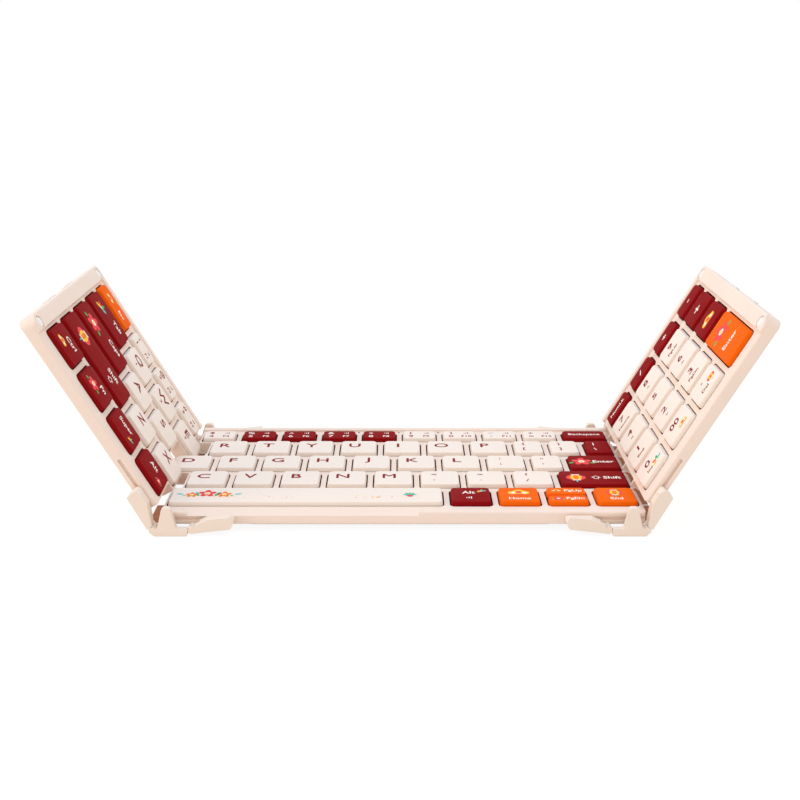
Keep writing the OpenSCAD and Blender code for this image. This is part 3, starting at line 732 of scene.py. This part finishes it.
def draw_bars(sheet, at, r):
    """Three short strokes, a plain sign for a key's second function."""
    for k in range(3):
        sheet.add(sheet.ink, bar(0.35 * r, (0.6 + 0.5 * k) * r),
                  at + Vector(((k - 1) * 0.7 * r, 0, 0)))


MOTIFS = {"blossom": draw_blossom, "cloud": draw_cloud, "lantern": draw_lantern,
          "leaves": draw_leaves, "spray": draw_spray, "sprig": draw_sprig,
          "specks": draw_specks, "arrow": draw_arrow, "bars": draw_bars}


def print_legend(sheet, box, marks):
    for mark, size, u, v in marks:
        at = top_point(box, u, v)
        if mark in MOTIFS:
            MOTIFS[mark](sheet, at, size)
        else:
            sheet.add(sheet.ink, text_geometry(mark, size), at)


def make_all_keys():
    for node, legends in LEGENDS.items():
        turn = press_axes(node)
        boxes = islands(NODES[node].data, turn)
        colour = KEY_COLOUR[SLOTS[node]]
        make_keys(node, boxes, turn, PAINT[colour])
        make_liners(node, boxes, turn)
        sheet = Print(turn, "ink_red" if colour == "cream" else "ink_white")
        for box, marks in zip(boxes, legends):
            print_legend(sheet, box, marks)
        sheet.build(node)


# --- Seams between the panels, with painted shade in their gaps -------------

# Edges of the rows, from the front row to the back one, and the room that a
# strip of painted shade keeps from them, where a wing's teeth pass
ROW_EDGES = [v * MM for v in (-43.2, -25.2, -7.2, 10.8, 28.8, 43.0)]
ROW_PLAY = 0.6 * MM
# Places on a wing: along it from its first key column, and up from its deck
WING_START = 9.85 * MM
DECK_OVER_PIVOT = 5.3 * MM
WING_ENDS = {"left": [v * MM for v in (-3.65, -7.15, 1.81, -10.55, -5.35)],
             "right": [-2 * MM] * 5}
FACING = 0.04 * MM
FACING_LOW = -4.6 * MM
FACING_TOP = -0.5 * MM
# The centre panel's ends by row. The left wing's longest row leaves no room for
# a lip.
CENTRE_ENDS = {"left": {0: -87.6 * MM, 1: -84 * MM, 2: -92.95 * MM, 4: -85.9 * MM},
               "right": {row: 89.95 * MM for row in range(5)}}
# A lip's strip lies below the end, and its rib joins it to the bottom cover
LIP_REACH = 5.5 * MM
LIP_ROOT = 2.0 * MM
LIP_RIB = 1.0 * MM
LIP_LOW = 1.05 * MM
LIP_HIGH = 1.35 * MM
LIP_HOLD = 2.6 * MM


def brick(low, high):
    """Corners and faces of a box."""
    corners = [Vector((x, y, z)) for x in (low[0], high[0]) for y in (low[1], high[1])
               for z in (low[2], high[2])]
    faces = [[0, 1, 3, 2], [4, 6, 7, 5], [0, 4, 5, 1], [2, 3, 7, 6], [0, 2, 6, 4], [1, 5, 7, 3]]
    return corners, faces


def make_bricks(name, boxes, place, body, material):
    """One piece from several boxes, with place mapping their corners."""
    verts, faces = [], []
    for low, high in boxes:
        corners, sides = brick(low, high)
        add_geometry(verts, faces, [place(corner) for corner in corners], sides)
    obj = mesh_object(name, verts, faces, material)
    recalc_normals(obj)
    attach(obj, body)


def row_span(row):
    """Front and back of the room that a strip of painted shade has in a row."""
    return ROW_EDGES[row] + ROW_PLAY, ROW_EDGES[row + 1] - ROW_PLAY


def make_facings(side):
    """Brown facings of painted shade on the inner ends of a wing's rows."""
    pivot = Vector(joint_where("name", side + "_wing_turn")["pos_m"])
    along = Vector(joint_where("name", side + "_wing_out")["axis"]).normalized()
    up = Vector((-along.z * math.copysign(1, along.x), 0, abs(along.x)))
    start = pivot + along * WING_START + up * DECK_OVER_PIVOT
    boxes = []
    for row, end in enumerate(WING_ENDS[side]):
        front, back = row_span(row)
        boxes.append(((end - FACING, front, FACING_LOW), (end, back, FACING_TOP)))

    def place(corner):
        return start + along * corner.x + Vector((0, corner.y, 0)) + up * corner.z

    make_bricks(side + "_end_shade_facings", boxes, place, side + "_wing", PAINT["seam_shade"])


def make_lips(side):
    """Thin lips below the centre panel, which a wing swings clear of, coloured as painted shade.
    """
    boxes = []
    for row, end in CENTRE_ENDS[side].items():
        sign = math.copysign(1, end)
        front, back = row_span(row)
        root = end - sign * LIP_ROOT
        for low, high, tip in ((LIP_LOW, LIP_HIGH, end + sign * LIP_REACH),
                               (LIP_HIGH, LIP_HOLD, root + sign * LIP_RIB)):
            left, right = sorted((root, tip))
            boxes.append(((left, front, low), (right, back, high)))
    make_bricks(side + "_seam_lips", boxes, Vector.copy, "centre", PAINT["seam_shade"])


def make_seams():
    """Painted shade in the gaps between the panels, on the wings' facings and the centre's lips.
    """
    for side in ("left", "right"):
        make_facings(side)
        make_lips(side)


# --- Stage -----------------------------------------------------------------

def camera_only(tree, seen, lit):
    """Mixes two shaders: seen for camera, glossy and clear rays, lit for light."""
    path = tree.nodes.new("ShaderNodeLightPath")
    most = path.outputs["Is Camera Ray"]
    for ray in ("Is Glossy Ray", "Is Transmission Ray"):
        add = tree.nodes.new("ShaderNodeMath")
        add.operation = "MAXIMUM"
        tree.links.new(most, add.inputs[0])
        tree.links.new(path.outputs[ray], add.inputs[1])
        most = add.outputs[0]
    mix = tree.nodes.new("ShaderNodeMixShader")
    tree.links.new(most, mix.inputs[0])
    tree.links.new(lit, mix.inputs[1])
    tree.links.new(seen, mix.inputs[2])
    return mix.outputs[0]


WHITE = (1, 1, 1, 1)
WORLD_COLOUR = (1.0, 0.94, 0.89, 1)
WORLD_LIGHT = 0.86


def make_world():
    """White behind the object, and a warm soft light on it."""
    world = bpy.data.worlds.new("studio")
    bpy.context.scene.world = world
    world.use_nodes = True
    tree = world.node_tree
    tree.nodes.clear()
    white = tree.nodes.new("ShaderNodeBackground")
    white.inputs["Color"].default_value = WHITE
    soft = tree.nodes.new("ShaderNodeBackground")
    soft.inputs["Color"].default_value = WORLD_COLOUR
    soft.inputs["Strength"].default_value = WORLD_LIGHT
    out = tree.nodes.new("ShaderNodeOutputWorld")
    mixed = camera_only(tree, white.outputs[0], soft.outputs[0])
    tree.links.new(mixed, out.inputs["Surface"])


FLOOR_SIZE = 60.0
FLOOR_DROP = 0.2 * MM
FLOOR_COLOUR = (0.95, 0.9, 0.86, 1)
FLOOR_SHADOW = 0.16
FLOOR_GLOW = 1.08


def make_floor():
    """A floor that looks white and takes a faint shadow."""
    half = FLOOR_SIZE / 2
    corners = [(-half, -half, 0), (half, -half, 0), (half, half, 0), (-half, half, 0)]
    material, tree, shader = new_material("floor_white")
    shader.inputs["Base Color"].default_value = FLOOR_COLOUR
    shader.inputs["Roughness"].default_value = 0.9
    glow = tree.nodes.new("ShaderNodeEmission")
    glow.inputs["Color"].default_value = WHITE
    glow.inputs["Strength"].default_value = FLOOR_GLOW
    seen = tree.nodes.new("ShaderNodeMixShader")
    seen.inputs[0].default_value = 1 - FLOOR_SHADOW
    tree.links.new(shader.outputs[0], seen.inputs[1])
    tree.links.new(glow.outputs[0], seen.inputs[2])
    out = tree.nodes["Material Output"]
    tree.links.new(camera_only(tree, seen.outputs[0], shader.outputs[0]), out.inputs["Surface"])
    floor = mesh_object("floor", corners, [[0, 1, 2, 3]], material)
    floor.location.z = -FLOOR_DROP


def area_light(name, at, towards, size, power, colour):
    data = bpy.data.lights.new(name, "AREA")
    data.shape = "DISK"
    data.size = size
    data.energy = power
    data.color = colour
    lamp = bpy.data.objects.new(name, data)
    bpy.context.scene.collection.objects.link(lamp)
    lamp.location = at
    aim = Vector(towards) - Vector(at)
    lamp.rotation_mode = "QUATERNION"
    lamp.rotation_quaternion = aim.to_track_quat("-Z", "Y")


def make_lights():
    area_light("top", at=(0.0, 0.15, 1.3), towards=(0, 0, 0), size=1.2, power=8.0,
               colour=(0.4, 0.67, 1.0))
    area_light("left", at=(-1.2, -0.3, 0.55), towards=(0.1, 0, 0.02), size=0.8, power=5.0,
               colour=(1.0, 0.88, 0.78))


make_camera()
make_world()
make_floor()
make_lights()
paint_nodes()
make_all_keys()
make_seams()
bpy.context.scene.view_settings.view_transform = "Standard"
